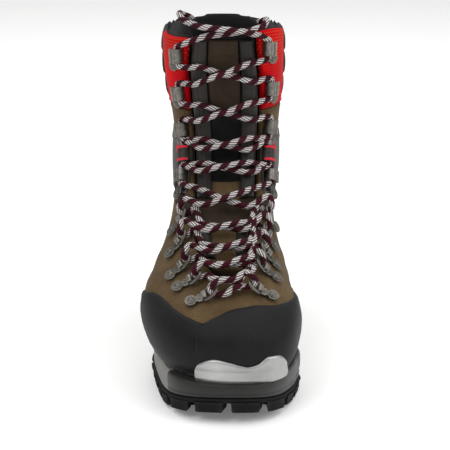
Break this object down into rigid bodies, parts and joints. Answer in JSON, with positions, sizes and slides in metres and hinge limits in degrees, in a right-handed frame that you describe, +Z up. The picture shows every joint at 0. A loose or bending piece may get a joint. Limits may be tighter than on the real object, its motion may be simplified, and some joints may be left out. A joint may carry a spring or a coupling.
{
  "type": "mountaineering boot",
  "caption": "Right mountaineering boot: lugged sole with crampon ledges, leather upper in a rubber rand, flexing ankle, padded tongue, laced through rings and hooks.",
  "frame": {"origin": "middle of the boot's footprint box, at the ground", "axes": "+Z up, toe towards -Y, +X to the inner (medial) side of this right boot"},
  "size_m": [0.1124, 0.3074, 0.2563],
  "materials": {
    "sole_rubber": "moulded, matt",
    "bumper_rubber": "moulded, satin",
    "rand_rubber": "fine grain, satin",
    "midsole_foam": "moulded foam, matt",
    "moulded_insert": "silver grey, satin",
    "nubuck_leather": "suede nap",
    "ankle_fabric": "coated, fine weave",
    "gusset_fabric": "stretch weave",
    "red_fabric": "close weave",
    "black_fabric": "padded, close weave",
    "strip_fabric": "coated",
    "lining_fabric": "brushed lining",
    "footbed_felt": "felt",
    "board": "fibre board",
    "shank_steel": "plain",
    "hook_metal": "satin, antique nickel",
    "lace": "braided, flecked"
  },
  "bodies": {
    "foot": {"outsole": "sole_rubber", "toe_bumper": "bumper_rubber", "shank": "shank_steel", "midsole": "midsole_foam", "lasting_board": "board", "footbed": "footbed_felt", "vamp_leather": "nubuck_leather", "lining_foot": "lining_fabric", "rand_lateral": "rand_rubber", "rand_medial": "rand_rubber", "toe_crampon_insert": "moulded_insert", "heel_crampon_insert": "moulded_insert", "flex_gusset": "gusset_fabric", "tongue_foot": "nubuck_leather", "tongue_strip_foot_lateral": "strip_fabric", "tongue_strip_foot_medial": "strip_fabric", "ring_clip_lateral_1": "hook_metal", "ring_clip_lateral_2": "hook_metal", "ring_clip_lateral_3": "hook_metal", "ring_clip_lateral_4": "hook_metal", "ring_clip_lateral_5": "hook_metal", "ring_clip_medial_1": "hook_metal", "ring_clip_medial_2": "hook_metal", "ring_clip_medial_3": "hook_metal", "ring_clip_medial_4": "hook_metal", "ring_clip_medial_5": "hook_metal", "lace": "lace"},
    "shaft": {"shaft_leather": "nubuck_leather", "ankle_panel": "ankle_fabric", "cuff_panel_medial": "red_fabric", "cuff_panel_lateral": "red_fabric", "collar_rear": "black_fabric", "lining_shaft": "lining_fabric", "tongue_shaft": "black_fabric", "tongue_strip_shaft_lateral": "strip_fabric", "tongue_strip_shaft_medial": "strip_fabric", "tongue_patch": "nubuck_leather", "pull_loop": "black_fabric", "ankle_cleat_lateral": "hook_metal", "lace_hook_lateral_1": "hook_metal", "lace_hook_lateral_2": "hook_metal", "lace_hook_lateral_3": "hook_metal", "strap_loop_lateral": "black_fabric", "ankle_cleat_medial": "hook_metal", "lace_hook_medial_1": "hook_metal", "lace_hook_medial_2": "hook_metal", "lace_hook_medial_3": "hook_metal", "strap_loop_medial": "black_fabric"},
    "ring_lateral_1": {"lace_ring_lateral_1": "hook_metal"},
    "ring_lateral_2": {"lace_ring_lateral_2": "hook_metal"},
    "ring_lateral_3": {"lace_ring_lateral_3": "hook_metal"},
    "ring_lateral_4": {"lace_ring_lateral_4": "hook_metal"},
    "ring_lateral_5": {"lace_ring_lateral_5": "hook_metal"},
    "ring_medial_1": {"lace_ring_medial_1": "hook_metal"},
    "ring_medial_2": {"lace_ring_medial_2": "hook_metal"},
    "ring_medial_3": {"lace_ring_medial_3": "hook_metal"},
    "ring_medial_4": {"lace_ring_medial_4": "hook_metal"},
    "ring_medial_5": {"lace_ring_medial_5": "hook_metal"}
  },
  "joints": [
    {"name": "ankle_flex", "type": "hinge", "parent": "foot", "child": "shaft", "pos_m": [0, 0.01926, 0.12], "axis": [1, 0, 0], "range_deg": [-3, 10], "stiffness_Nm_per_rad": 14, "deforming": ["flex_gusset", "lace"]},
    {"name": "ring_swing_lateral_1", "type": "hinge", "parent": "foot", "child": "ring_lateral_1", "pos_m": [-0.01097, -0.11908, 0.07881], "axis": [-0.1631, 0.8662, 0.4723], "range_deg": [-5, 5], "deforming": ["lace"]},
    {"name": "ring_swing_lateral_2", "type": "hinge", "parent": "foot", "child": "ring_lateral_2", "pos_m": [-0.0211, -0.10289, 0.08504], "axis": [-0.168, 0.8824, 0.4394], "range_deg": [-5, 5], "deforming": ["lace"]},
    {"name": "ring_swing_lateral_3", "type": "hinge", "parent": "foot", "child": "ring_lateral_3", "pos_m": [-0.02738, -0.08759, 0.09063], "axis": [-0.3392, 0.8899, 0.305], "range_deg": [-5, 5], "deforming": ["lace"]},
    {"name": "ring_swing_lateral_4", "type": "hinge", "parent": "foot", "child": "ring_lateral_4", "pos_m": [-0.02962, -0.06592, 0.10144], "axis": [-0.354, 0.9139, 0.1988], "range_deg": [-5, 5], "deforming": ["lace"]},
    {"name": "ring_swing_lateral_5", "type": "hinge", "parent": "foot", "child": "ring_lateral_5", "pos_m": [-0.02925, -0.04561, 0.11197], "axis": [-0.2161, 0.9429, 0.2534], "range_deg": [-5, 5], "deforming": ["lace"]},
    {"name": "ring_swing_medial_1", "type": "hinge", "parent": "foot", "child": "ring_medial_1", "pos_m": [0.02668, -0.11335, 0.08158], "axis": [-0.1369, -0.9033, -0.4067], "range_deg": [-5, 5], "deforming": ["lace"]},
    {"name": "ring_swing_medial_2", "type": "hinge", "parent": "foot", "child": "ring_medial_2", "pos_m": [0.03104, -0.0915, 0.08955], "axis": [-0.2108, -0.9387, -0.2727], "range_deg": [-5, 5], "deforming": ["lace"]},
    {"name": "ring_swing_medial_3", "type": "hinge", "parent": "foot", "child": "ring_medial_3", "pos_m": [0.03297, -0.0745, 0.09526], "axis": [-0.269, -0.9471, -0.175], "range_deg": [-5, 5], "deforming": ["lace"]},
    {"name": "ring_swing_medial_4", "type": "hinge", "parent": "foot", "child": "ring_medial_4", "pos_m": [0.03362, -0.0567, 0.1039], "axis": [-0.2546, -0.9333, -0.2534], "range_deg": [-5, 5], "deforming": ["lace"]},
    {"name": "ring_swing_medial_5", "type": "hinge", "parent": "foot", "child": "ring_medial_5", "pos_m": [0.03495, -0.03996, 0.11294], "axis": [-0.1528, -0.9134, -0.3773], "range_deg": [-5, 5], "deforming": ["lace"]}
  ]
}
